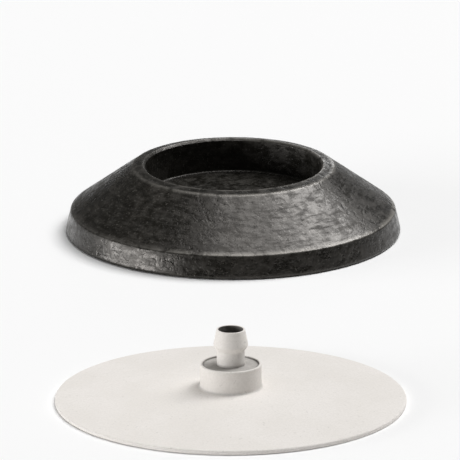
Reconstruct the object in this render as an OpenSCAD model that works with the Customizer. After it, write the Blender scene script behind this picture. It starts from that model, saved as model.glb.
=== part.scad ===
// Pole end cap: a flared rubber cap that a tube presses into, and the
// dished disc that snaps into its underside. Millimetres, +Z up.
// The cap stands on its flange about the Z axis; the disc lies peg up in front of it.

/* [Cap] */
// Outside diameter of the tube, pressed line to line into the socket
pole_d = 30; // [24:0.5:36]
// Height of the cap from its underside to its mouth
cap_h = 12; // [11:0.1:16]
// Diameter at the bottom of the rim band, to the corner before it is rounded
rim_d = 57.4; // [52:0.2:70]
// Height of the rim band
rim_h = 4; // [3:0.25:5.5]
// How far the rim band leans in from bottom to shoulder
rim_lean = 0.95; // [0.4:0.05:1.6]
// Width of the flat lip round the mouth
lip_w = 2.2; // [1.8:0.1:4]
// Fall of the lip from its inner to its outer edge
lip_fall = 0.35; // [0.1:0.05:0.6]
// Lead-in chamfer of the mouth
mouth_bevel = 0.4; // [0.2:0.1:0.8]
// Thickness of the web between the socket and the collar seat
web_t = 2.1; // [1.6:0.1:3]
// Rounding of the rim band's bottom edge
rim_round = 0.5; // [0.3:0.1:0.9]
// Rounding of the shoulder between rim band and cone
shoulder_round = 0.6; // [0.3:0.1:1.2]
// Rounding of the lip's outer edge
lip_round = 0.5; // [0.2:0.1:0.9]

/* [Disc] */
// Diameter of the disc
disc_d = 58.4; // [52:0.2:70]
// Thickness of the disc
disc_t = 0.8; // [0.8:0.1:1.6]
// How far the disc is dished, from its rim up to its centre
disc_rise = 2.1; // [0.8:0.1:4]
// Rounding of the disc's upper edge
disc_top_round = 0.35; // [0.2:0.05:0.45]
// Rounding of the disc's lower edge
disc_low_round = 0.2; // [0.1:0.05:0.3]
// Clear distance on the floor between the cap's rim and the disc
lay_apart = 39.3; // [5:0.1:60]

/* [Collar] */
// Diameter of the collar under the peg
collar_d = 10.3; // [9:0.1:13]
// Height of the collar above the disc
collar_h = 4; // [3.4:0.1:5]
// Fillet between collar and disc
collar_fillet = 0.4; // [0.2:0.1:0.8]
// Wall left round the recess in the collar's top
collar_wall = 0.5; // [0.45:0.05:1]
// Depth of that recess
recess_h = 0.25; // [0.2:0.05:1]
// Rounding of the collar's top edge
collar_round = 0.2; // [0.1:0.05:0.2]

/* [Peg] */
// Diameter of the peg's neck
neck_d = 4.7; // [4.4:0.1:5.5]
// How much the barb stands out from the neck, on the radius
barb_out = 0.55; // [0.3:0.05:0.8]
// Height of the barb's return slope
barb_return = 0.9; // [0.5:0.1:1.4]
// Height of the straight land on the barb
barb_land = 0.3; // [0.2:0.1:0.6]
// Height of the lead-in slope above the barb
lead_h = 2.5; // [2:0.1:4]
// Diameter of the peg's tip
tip_d = 4.8; // [4.4:0.1:4.8]
// Rounding of the tip's two edges
tip_round = 0.15; // [0.05:0.05:0.15]
// Wall left at the tip round the cored hole
tip_wall = 0.35; // [0.35:0.05:0.7]
// How much narrower the cored hole is at its bottom, on the radius
core_taper = 0.4; // [0.2:0.05:0.6]
// Depth of the cored hole
core_h = 5; // [2:0.25:6]

/* [Clearances] */
// Radial play of the collar in its seat
collar_play = 0.15; // [0.1:0.05:0.4]
// Radial play of the neck in the web's hole
neck_play = 0.1; // [0.05:0.05:0.2]
// Gap over the collar's top when the disc is home
seat_gap = 0.1; // [0.05:0.05:0.3]
// How much wider than the collar's fillet the seat's mouth is bevelled
bevel_play = 0.05; // [0:0.05:0.2]
// Gap under the barb when the disc is home
barb_gap = 0.05; // [0.02:0.01:0.2]

/* [Hidden] */
$fn = 128;
arc_steps = 8;
dish_steps = 14;

// Cap: radii and heights from the axis and the underside
socket_r = pole_d / 2;
lip_r = socket_r + lip_w;
rim_r = rim_d / 2;
shoulder_r = rim_r - rim_lean;
seat_r = collar_d / 2 + collar_play;
seat_top = collar_h + seat_gap;
seat_bevel = collar_fillet + bevel_play;
socket_z = seat_top + web_t;
peg_hole_r = neck_d / 2 + neck_play;

// Disc: heights from the disc's own underside
disc_r = disc_d / 2;
disc_y = -(rim_r + lay_apart + disc_r);
dish_r = (disc_r * disc_r + disc_rise * disc_rise) / (2 * disc_rise);
collar_r = collar_d / 2;
collar_low = dish(collar_r) + disc_t;
collar_top = collar_low + collar_h;
recess_r = collar_r - collar_wall;
recess_z = collar_top - recess_h;
neck_r = neck_d / 2;
barb_r = neck_r + barb_out;
barb_low = collar_top + seat_gap + web_t + barb_gap;
land_low = barb_low + barb_return;
land_top = land_low + barb_land;
tip_z = land_top + lead_h;
tip_r = tip_d / 2;
core_r = tip_r - tip_wall;
core_low_r = core_r - core_taper;
core_z = tip_z - core_h;

// One entry for each separate piece

// Height of the dished underside at radius r
function dish(r) = disc_rise - dish_r + sqrt(dish_r * dish_r - r * r);

function unit(v) = v / norm(v);

// Points of corner b between a and c, rounded to radius r (sharp where r is 0)
function corner(a, b, c, r) =
    r == 0 ? [b] :
    let (
        u = unit(a - b),
        v = unit(c - b),
        half = acos(u * v) / 2,
        start = b + u * r / tan(half),
        end = b + v * r / tan(half),
        mid = b + unit(u + v) * r / sin(half),
        a0 = atan2(start.y - mid.y, start.x - mid.x),
        a1 = atan2(end.y - mid.y, end.x - mid.x),
        sweep = (a1 - a0 + 540) % 360 - 180
    )
    [for (i = [0:arc_steps])
        mid + r * [cos(a0 + sweep * i / arc_steps), sin(a0 + sweep * i / arc_steps)]];

// Closed outline from [radius, height, rounding] rows
function outline(rows) =
    let (n = len(rows), p = [for (row = rows) [row[0], row[1]]])
    [for (i = [0:n - 1]) each corner(p[(i + n - 1) % n], p[i], p[(i + 1) % n], rows[i][2])];

// Flared cap: socket above, collar seat below, one hole through the web between them
module rubber_cap() {
    color([0.07, 0.07, 0.075])
    rotate_extrude()
    polygon(outline([
        [seat_r, seat_bevel, 0],
        [seat_r + seat_bevel, 0, 0],
        [rim_r, 0, rim_round],
        [shoulder_r, rim_h, shoulder_round],
        [lip_r, cap_h - lip_fall, lip_round],
        [socket_r + mouth_bevel, cap_h, 0],
        [socket_r, cap_h - mouth_bevel, 0],
        [socket_r, socket_z, 0],
        [peg_hole_r, socket_z, 0],
        [peg_hole_r, seat_top, 0],
        [seat_r, seat_top, 0],
    ]));
}

// Dished disc, collar and barbed peg, moulded as one
module snap_disc() {
    color([0.93, 0.92, 0.88])
    translate([0, disc_y, 0])
    rotate_extrude()
    polygon(outline([
        for (i = [0:dish_steps - 1])
            let (r = disc_r * i / dish_steps)
            [r, dish(r), 0],
        [disc_r, 0, disc_low_round],
        [disc_r, disc_t, disc_top_round],
        for (i = [1:dish_steps - 1])
            let (r = disc_r + (collar_r - disc_r) * i / dish_steps)
            [r, dish(r) + disc_t, 0],
        [collar_r, collar_low, collar_fillet],
        [collar_r, collar_top, collar_round],
        [recess_r, collar_top, collar_round],
        [recess_r, recess_z, 0],
        [neck_r, recess_z, 0],
        [neck_r, barb_low, 0],
        [barb_r, land_low, 0],
        [barb_r, land_top, 0],
        [tip_r, tip_z, tip_round],
        [core_r, tip_z, tip_round],
        [core_low_r, core_z, 0],
        [0, core_z, 0],
    ]));
}

rubber_cap();
snap_disc();
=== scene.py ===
"""Looks of the pole end cap: a flared rubber cap and the dished snap-in disc that lies in front of it.

Lengths of the part are in millimetres until a mesh is made, and repeat those of the solids.
"""

import math

import bpy
import numpy as np
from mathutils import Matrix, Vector, noise

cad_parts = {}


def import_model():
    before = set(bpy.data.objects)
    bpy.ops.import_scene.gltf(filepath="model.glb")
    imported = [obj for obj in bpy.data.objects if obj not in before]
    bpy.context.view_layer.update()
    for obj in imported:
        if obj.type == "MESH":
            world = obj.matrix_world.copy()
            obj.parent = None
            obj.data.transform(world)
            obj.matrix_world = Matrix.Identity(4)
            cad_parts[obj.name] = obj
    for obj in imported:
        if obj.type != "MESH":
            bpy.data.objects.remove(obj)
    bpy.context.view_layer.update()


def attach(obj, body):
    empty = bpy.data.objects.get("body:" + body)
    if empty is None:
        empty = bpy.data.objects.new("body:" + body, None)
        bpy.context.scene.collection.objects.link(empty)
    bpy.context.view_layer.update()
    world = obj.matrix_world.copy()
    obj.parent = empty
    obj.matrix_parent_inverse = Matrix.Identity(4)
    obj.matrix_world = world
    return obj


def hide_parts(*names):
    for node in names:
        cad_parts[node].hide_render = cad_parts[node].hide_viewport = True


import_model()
scene = bpy.context.scene
scene.view_settings.view_transform = "Standard"

MM = 0.001

# The photo's view: a long lens a little above the part, in a picture 460 pixels square
PIXELS = 460
PX_PER_MM = 5.905
DISTANCE = 3.3
ELEVATION = math.radians(17.0)
AZIMUTH = math.radians(-0.25)
SENSOR_MM = 36.0
# Where the photo has the cap's axis and the front of its rim
CAP_AXIS_PX = 232.5
RIM_FRONT_PX = 278.8
RIM_FRONT = Vector((0.0, -0.0286, 0.0003))

# The disc's axis lies this far in front of the cap's
DISC_Y = -97.2


def make_camera():
    """Camera that puts the front of the cap's rim where the photo has it."""
    data = bpy.data.cameras.new("photo_view")
    cam = bpy.data.objects.new("photo_view", data)
    scene.collection.objects.link(cam)
    flat = math.cos(ELEVATION)
    back = Vector((-math.sin(AZIMUTH) * flat, -math.cos(AZIMUTH) * flat, math.sin(ELEVATION)))
    right = Vector((math.cos(AZIMUTH), -math.sin(AZIMUTH), 0.0))
    up = back.cross(right)
    pixel = MM / PX_PER_MM
    aim = RIM_FRONT + right * (PIXELS / 2 - CAP_AXIS_PX) * pixel
    aim = aim + up * (RIM_FRONT_PX - PIXELS / 2) * pixel
    cam.location = aim + back * DISTANCE
    cam.rotation_euler = (-back).to_track_quat("-Z", "Y").to_euler()
    data.sensor_width = SENSOR_MM
    data.lens = SENSOR_MM * DISTANCE / (PIXELS * pixel)
    data.clip_start = 0.05
    data.clip_end = 200.0
    scene.camera = cam


# Meshes


def corner(a, b, c, r, steps=9):
    """Points of corner b between a and c, rounded to radius r."""
    a, b, c = (np.array(p, float) for p in (a, b, c))
    if r == 0:
        return [b]
    u = (a - b) / np.linalg.norm(a - b)
    v = (c - b) / np.linalg.norm(c - b)
    half = math.acos(float(u @ v)) / 2
    mid = b + (u + v) / np.linalg.norm(u + v) * r / math.sin(half)
    start, end = (b + w * r / math.tan(half) - mid for w in (u, v))
    a0 = math.atan2(start[1], start[0])
    sweep = (math.atan2(end[1], end[0]) - a0 + 3 * math.pi) % (2 * math.pi) - math.pi
    turn = [a0 + sweep * i / steps for i in range(steps + 1)]
    return [mid + r * np.array((math.cos(t), math.sin(t))) for t in turn]


def profile(rows, closed, step):
    """Outline from (radius, height, rounding) rows, cut into short steps."""
    n = len(rows)
    points = []
    for i, (r, z, rounding) in enumerate(rows):
        points += corner(rows[(i - 1) % n][:2], (r, z), rows[(i + 1) % n][:2], rounding)
    if closed:
        points.append(points[0])
    fine = []
    for p, q in zip(points, points[1:]):
        pieces = max(1, math.ceil(float(np.linalg.norm(q - p)) / step))
        fine += [p + (q - p) * k / pieces for k in range(pieces)]
    return np.array(fine if closed else fine + [points[-1]])


def outward(points):
    """Unit normals of an outline, out of the solid."""
    along = np.roll(points, -1, axis=0) - np.roll(points, 1, axis=0)
    normal = np.stack((along[:, 1], -along[:, 0]), axis=1)
    return normal / np.linalg.norm(normal, axis=1)[:, None]


def skin(name, verts, faces, values, material):
    """Smooth object of a mesh, with one value kept as the mark of each vertex."""
    mesh = bpy.data.meshes.new(name)
    mesh.from_pydata(verts, [], faces)
    mesh.polygons.foreach_set("use_smooth", [True] * len(mesh.polygons))
    mesh.attributes.new("mark", "FLOAT", "POINT").data.foreach_set("value", values)
    mesh.materials.append(material)
    mesh.update()
    obj = bpy.data.objects.new(name, mesh)
    scene.collection.objects.link(obj)
    return obj


def revolve(name, rows, closed, step, segments, centre_y, mark, relief, material):
    """Turns an outline about an upright axis, sinks it by relief() and keeps mark() on the mesh.

    A closed outline goes round a hole. An open one starts and ends on the axis.
    """
    points = profile(rows, closed, step)
    normal = outward(points)
    edge = [mark(r, z) for r, z in points]
    n = len(points)
    turns = [2 * math.pi * j / segments for j in range(segments)]
    verts, values, base = [], [], {}
    for i in range(n) if closed else range(1, n - 1):
        base[i] = len(verts)
        for turn in turns:
            way = Vector((math.cos(turn), math.sin(turn), 0.0))
            p = way * points[i, 0] + Vector((0.0, 0.0, points[i, 1]))
            out = way * normal[i, 0] + Vector((0.0, 0.0, normal[i, 1]))
            p -= out * relief(p, edge[i])
            verts.append((p.x * MM, (p.y + centre_y) * MM, p.z * MM))
            values.append(edge[i])
    faces = []
    pairs = [(i, (i + 1) % n) for i in range(n)] if closed else [(i, i + 1) for i in range(1, n - 2)]
    for i, k in pairs:
        for j in range(segments):
            m = (j + 1) % segments
            faces.append((base[i] + j, base[i] + m, base[k] + m, base[k] + j))
    if not closed:
        for i, ring, flip in ((0, 1, True), (n - 1, n - 2, False)):
            pole = len(verts)
            verts.append((0.0, centre_y * MM, points[i, 1] * MM))
            values.append(edge[i])
            for j in range(segments):
                a, b = base[ring] + j, base[ring] + (j + 1) % segments
                faces.append((pole, b, a) if flip else (pole, a, b))
    return skin(name, verts, faces, values, material)


# Materials


def add(tree, kind, inputs=None, **settings):
    """Node of a kind with its settings, its inputs linked to sockets or set to values."""
    node = tree.nodes.new(kind)
    for key, value in settings.items():
        setattr(node, key, value)
    for key, value in (inputs or {}).items():
        if isinstance(value, bpy.types.NodeSocket):
            tree.links.new(value, node.inputs[key])
        else:
            node.inputs[key].default_value = value
    return node


def new_material(name):
    """Material with its node tree and its main shader."""
    mat = bpy.data.materials.new(name)
    mat.use_nodes = True
    return mat, mat.node_tree, mat.node_tree.nodes["Principled BSDF"]


def maths(tree, operation, a, b):
    """Sum, product and the like of two numbers."""
    return add(tree, "ShaderNodeMath", {0: a, 1: b}, operation=operation).outputs[0]


def times(tree, a, b):
    return maths(tree, "MULTIPLY", a, b)


def vector(tree, operation, inputs, output=0):
    """Result of a vector operation."""
    return add(tree, "ShaderNodeVectorMath", inputs, operation=operation).outputs[output]


def millimetres(tree, centre_y=0.0):
    """Place on the object in mm, from the piece's own axis."""
    place = add(tree, "ShaderNodeTexCoord").outputs["Object"]
    moved = vector(tree, "ADD", {0: place, 1: (0.0, -centre_y * MM, 0.0)})
    return vector(tree, "SCALE", {0: moved, "Scale": 1 / MM})


def turned(tree, place, round_scale, out_scale):
    """Coordinates that run round the axis, so that marks lie along the turn and have no seam."""
    flat = vector(tree, "MULTIPLY", {0: place, 1: (1.0, 1.0, 0.0)})
    way = vector(tree, "SCALE", {0: vector(tree, "NORMALIZE", {0: flat}), "Scale": round_scale})
    out = vector(tree, "LENGTH", {0: flat}, "Value")
    height = add(tree, "ShaderNodeSeparateXYZ", {0: place}).outputs["Z"]
    run = times(tree, maths(tree, "SUBTRACT", out, height), out_scale)
    lift = add(tree, "ShaderNodeCombineXYZ", {"Z": run}).outputs[0]
    return vector(tree, "ADD", {0: way, 1: lift})


def grain(tree, place, scale, detail=2.0, roughness=0.5, distortion=0.0):
    """Noise with a scale per mm, about 0 to 1."""
    return add(
        tree,
        "ShaderNodeTexNoise",
        {"Vector": place, "Scale": scale, "Detail": detail, "Roughness": roughness, "Distortion": distortion},
    ).outputs["Fac"]


def span(tree, value, low, high, to_low=0.0, to_high=1.0):
    """Value remapped smoothly from low..high."""
    return add(
        tree,
        "ShaderNodeMapRange",
        {"Value": value, "From Min": low, "From Max": high, "To Min": to_low, "To Max": to_high},
        interpolation_type="SMOOTHSTEP",
    ).outputs[0]


def blend(tree, factor, a, b):
    """Mix of two colours, at the node's sockets 0 (factor), 6 and 7."""
    return add(tree, "ShaderNodeMix", {0: factor, 6: a, 7: b}, data_type="RGBA").outputs[2]


def marks(tree):
    """The mark kept on the mesh: pale rubber edges, partly scuffed and partly a painted highlight; painted
    shade in the plastic's hollows and corners.
    """
    return add(tree, "ShaderNodeAttribute", attribute_name="mark").outputs["Fac"]


def dress(tree, shader, colour, rough, specular, strength, depth, height):
    """Puts colour, roughness, gloss and a fine bump, its depth in mm, on a shader."""
    bump = add(tree, "ShaderNodeBump", {"Strength": strength, "Distance": depth * MM, "Height": height})
    tree.links.new(colour, shader.inputs["Base Color"])
    tree.links.new(rough, shader.inputs["Roughness"])
    tree.links.new(bump.outputs[0], shader.inputs["Normal"])
    shader.inputs["Specular IOR Level"].default_value = specular


def rubber():
    """Black rubber with dull and rubbed patches, fine specks, turned rub marks and pale edges, partly scuffed
    and partly a painted highlight.

    The pale edges are painted stronger on the right side, as a highlight where the light falls, and the rim
    band shines more than the cone.
    """
    black, dusty = (0.0066, 0.0060, 0.0045, 1), (0.0210, 0.0192, 0.0160, 1)
    # The last colour is for the pale edges: partly scuffs, partly a painted highlight
    speck, pit, wear_and_highlight_colour = (0.070, 0.066, 0.059, 1), (0.005, 0.0047, 0.004, 1), (0.34, 0.322, 0.295, 1)
    rim_top = (3.2, 4.2)
    mat, tree, shader = new_material("black_rubber")
    place = millimetres(tree)
    apart = add(tree, "ShaderNodeSeparateXYZ", {0: place})

    patches = span(tree, grain(tree, place, 0.14, 3.0, 0.6, 0.5), 0.36, 0.66)
    rubs = span(tree, grain(tree, turned(tree, place, 8.0, 1.1), 1.0, 4.0, 0.6, 0.5), 0.40, 0.70)
    mottle = span(tree, grain(tree, place, 0.55, 3.0, 0.6, 0.3), 0.34, 0.66)
    wrinkles = span(tree, grain(tree, place, 0.62, 2.0, 0.5, 0.9), 0.28, 0.72)
    specks = span(tree, grain(tree, place, 2.8, 1.0, 0.4), 0.63, 0.73)
    pits = span(tree, grain(tree, place, 1.5, 1.0, 0.4), 0.30, 0.38, 1.0, 0.0)
    # Pale edges, partly scuffs and partly a painted highlight, made stronger on the right side, where the
    # light falls
    wear_and_highlight = times(tree, marks(tree), span(tree, grain(tree, place, 0.5, 2.0), 0.28, 0.52))
    wear_and_highlight = times(tree, wear_and_highlight, span(tree, apart.outputs["X"], -20.0, 2.0, 0.15, 1.0))

    dust = maths(tree, "ADD", times(tree, patches, mottle), times(tree, rubs, 0.4))
    colour = blend(tree, maths(tree, "MINIMUM", dust, 1.0), black, dusty)
    colour = blend(tree, times(tree, specks, 0.7), colour, speck)
    colour = blend(tree, times(tree, pits, 0.7), colour, pit)
    # Painted highlight, with scuffs, along the edges
    colour = blend(tree, times(tree, wear_and_highlight, 0.9), colour, wear_and_highlight_colour)

    dull = maths(tree, "ADD", times(tree, mottle, 0.35), times(tree, wrinkles, 0.25))
    dull = maths(tree, "ADD", dull, times(tree, rubs, 0.45))
    dull = maths(tree, "SUBTRACT", dull, times(tree, wear_and_highlight, 0.7))
    rough = span(tree, dull, 0.05, 1.0, 0.27, 0.60)
    rough = times(tree, rough, span(tree, apart.outputs["Z"], *rim_top, 0.8, 1.0))

    height = maths(tree, "ADD", times(tree, mottle, 0.8), times(tree, wrinkles, 1.2))
    height = maths(tree, "ADD", height, times(tree, grain(tree, place, 3.2, 2.0, 0.6), 0.35))
    height = maths(tree, "SUBTRACT", height, times(tree, pits, 0.6))
    height = times(tree, height, span(tree, apart.outputs["Z"], *rim_top, 1.4, 1.0))

    dress(tree, shader, colour, rough, specular=0.5, strength=0.3, depth=0.08, height=height)
    shader.inputs["Specular Tint"].default_value = (1.0, 0.95, 0.90, 1)
    return mat


def plastic():
    """Off-white moulded plastic with a fine grain, faint clouding and painted shade in its hollows and
    corners.
    """
    white, whiter = (0.80, 0.765, 0.725, 1), (0.835, 0.80, 0.765, 1)
    # The last colour is painted shade for the hollows and corners
    shade, speck, painted_shade_colour = (0.70, 0.67, 0.63, 1), (0.50, 0.475, 0.44, 1), (0.075, 0.070, 0.062, 1)
    mat, tree, shader = new_material("white_plastic")
    place = millimetres(tree, DISC_Y)

    cloud = span(tree, grain(tree, place, 0.10, 3.0, 0.6), 0.35, 0.68)
    fine = grain(tree, place, 3.0, 2.0, 0.6)
    specks = span(tree, grain(tree, place, 1.7, 1.0, 0.4), 0.70, 0.76)
    # Painted shade in the peg's core, on the recess's floor and in the corners
    painted_shade = times(tree, marks(tree), span(tree, grain(tree, place, 0.8, 2.0), 0.2, 0.6, 0.75, 1.0))

    colour = blend(tree, cloud, white, whiter)
    colour = blend(tree, times(tree, span(tree, fine, 0.35, 0.65), 0.4), colour, shade)
    colour = blend(tree, times(tree, specks, 0.35), colour, speck)
    # Painted shade darkens the hollows and corners
    colour = blend(tree, painted_shade, colour, painted_shade_colour)
    rough = span(tree, fine, 0.3, 0.7, 0.56, 0.70)

    dress(tree, shader, colour, rough, specular=0.3, strength=0.3, depth=0.02, height=fine)
    return mat


# Pieces


def cap_relief(p, edge):
    """Soft waviness of a rubber moulding, with small nicks along its scuffed edges."""
    sink = 0.022 * (1 + noise.noise(p * 0.17)) + 0.008 * (1 + noise.noise(p * 0.75))
    nick = max(0.0, noise.noise(p * 0.8 + Vector((7.0, 3.0, 1.0))) - 0.3)
    return sink + 0.16 * nick * edge


def disc_relief(p, _):
    """Slight unevenness of a thin moulding, more on the peg than on the disc."""
    high = min(1.0, max(0.0, (p.z - 7.0) / 2.0))
    sink = 0.010 * (1 + noise.noise(p * 0.13)) + 0.003 * (1 + noise.noise(p * 0.7))
    return sink + 0.018 * high * (1 + noise.noise(p * 0.9))


def near(r, z, edges, reach):
    """How near a place on a profile is to the nearest of some edges (radius, height, strength)."""
    return max(w * math.exp(-((r - er) ** 2 + (z - ez) ** 2) / reach**2) for er, ez, w in edges)


def rubber_cap():
    """Cap with its socket above, its collar seat below and the peg's hole between them."""
    rim, shoulder, lip, mouth = (28.7, 0.0), (27.75, 4.0), (17.2, 11.65), (15.4, 12.0)
    seat_r, seat_bevel, seat_top = 5.3, 0.45, 4.1
    socket_r, socket_z, bevel_z = 15.0, 6.2, 11.6
    hole_r = 2.45
    rows = [
        (seat_r, seat_bevel, 0.1),
        (seat_r + seat_bevel, 0.0, 0.1),
        (*rim, 0.5),
        (*shoulder, 0.6),
        (*lip, 0.5),
        (*mouth, 0.12),
        (socket_r, bevel_z, 0.15),
        (socket_r, socket_z, 0.3),
        (hole_r, socket_z, 0.1),
        (hole_r, seat_top, 0.1),
        (seat_r, seat_top, 0.1),
    ]
    above_shoulder = (shoulder[0] - 0.3, shoulder[1] + 0.2)
    # Pale edges: partly scuffs, partly a painted highlight; the same mark places the nicks
    edges = ((*rim, 0.5), (*above_shoulder, 1.0), (*lip, 0.6), (*mouth, 0.45))

    def wear_and_highlight(r, z):
        return near(r, z, edges, reach=0.27)

    obj = revolve("rubber_cap_skin", rows, True, 0.42, 360, 0.0, wear_and_highlight, cap_relief, rubber())
    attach(obj, "root")
    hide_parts("rubber_cap")


def snap_disc():
    """Dished disc with its collar and its barbed, cored peg."""
    disc_r, rise, thick = 29.2, 2.1, 0.8
    collar_r, collar_h, recess_r, recess_h = 5.15, 4.0, 4.65, 0.25
    neck_r, neck_h = 2.35, 2.25
    barb_r, barb_return, barb_land, lead_h = 2.9, 0.9, 0.3, 2.5
    tip_r, core_r, core_low_r, core_h = 2.4, 2.05, 1.65, 5.0
    dish_r = (disc_r**2 + rise**2) / (2 * rise)

    def dish(r):
        return rise - dish_r + math.sqrt(dish_r**2 - r**2)

    low = dish(collar_r) + thick
    top = low + collar_h
    recess_z = top - recess_h
    barb_z = top + neck_h
    land_z = barb_z + barb_return
    lead_z = land_z + barb_land
    tip_z = lead_z + lead_h
    core_z = tip_z - core_h
    rows = [(r, dish(r), 0.0) for r in np.linspace(0.0, disc_r, 48)[:-1]]
    rows += [(disc_r, 0.0, 0.2), (disc_r, thick, 0.35)]
    rows += [(r, dish(r) + thick, 0.0) for r in np.linspace(disc_r, collar_r, 40)[1:-1]]
    rows += [
        (collar_r, low, 0.4),
        (collar_r, top, 0.2),
        (recess_r, top, 0.2),
        (recess_r, recess_z, 0.04),
        (neck_r, recess_z, 0.15),
        (neck_r, barb_z, 0.15),
        (barb_r, land_z, 0.12),
        (barb_r, lead_z, 0.12),
        (tip_r, tip_z, 0.15),
        (core_r, tip_z, 0.15),
        (core_low_r, core_z, 0.2),
        (0.0, core_z, 0.0),
    ]
    # Corners darkened with painted shade: the collar's foot and the edges of the recess's floor
    corners = ((collar_r, low, 0.25), (recess_r - 0.1, recess_z, 1.0), (neck_r, recess_z, 0.6))

    def painted_shade(r, z):
        """Painted shade: dark in the core up to its rounded mouth, less so on the recess's floor, and in the
        corners.
        """
        if r < core_r + 0.15 and z > low:
            return 0.9 * min(1.0, (tip_z - z) / 0.12)
        on_floor = abs(z - recess_z) < 0.03 and neck_r + 0.15 < r < recess_r
        return max(0.55 if on_floor else 0.0, near(r, z, corners, reach=0.3))

    obj = revolve("snap_disc_skin", rows, False, 0.4, 280, DISC_Y, painted_shade, disc_relief, plastic())
    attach(obj, "root")
    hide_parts("snap_disc")


# Stage


def floor():
    """Plain pale floor."""
    mesh = bpy.data.meshes.new("floor")
    mesh.from_pydata([(-30, -30, 0), (30, -30, 0), (30, 30, 0), (-30, 30, 0)], [], [(0, 1, 2, 3)])
    mat, _, shader = new_material("floor")
    shader.inputs["Base Color"].default_value = (0.925, 0.925, 0.925, 1)
    shader.inputs["Roughness"].default_value = 1.0
    shader.inputs["Specular IOR Level"].default_value = 0.0
    mesh.materials.append(mat)
    obj = bpy.data.objects.new("floor", mesh)
    scene.collection.objects.link(obj)


def softbox(name, towards, distance, width, height, radiance):
    """Area light that faces the part from a direction, as bright to look at as radiance."""
    light = bpy.data.lights.new(name, "AREA")
    light.shape = "RECTANGLE"
    light.size, light.size_y = width, height
    light.energy = radiance * math.pi * width * height
    obj = bpy.data.objects.new(name, light)
    scene.collection.objects.link(obj)
    way = Vector(towards).normalized()
    obj.location = Vector((0.0, -0.05, 0.0)) + way * distance
    obj.rotation_euler = way.to_track_quat("Z", "Y").to_euler()
    obj.visible_camera = False


def world():
    """Even weak light all round."""
    data = bpy.data.worlds.new("studio")
    scene.world = data
    data.use_nodes = True
    light = data.node_tree.nodes["Background"]
    light.inputs["Color"].default_value = (1, 1, 1, 1)
    light.inputs["Strength"].default_value = 0.07


make_camera()
rubber_cap()
snap_disc()
floor()
# For the shine on the cone's right side, on all that lies flat, on the lip's right and on the rim's left
softbox("key", (0.49, 0.38, 0.79), distance=7.8, width=3.6, height=3.6, radiance=9.75)
softbox("top_box", (0.16, 0.05, 0.98), distance=7.8, width=4.2, height=4.8, radiance=4.3)
softbox("back_box", (0.16, 0.95, 0.24), distance=6.0, width=1.2, height=1.2, radiance=3.0)
softbox("left_box", (-0.95, -0.29, 0.10), distance=3.9, width=3.6, height=0.84, radiance=12.0)
world()
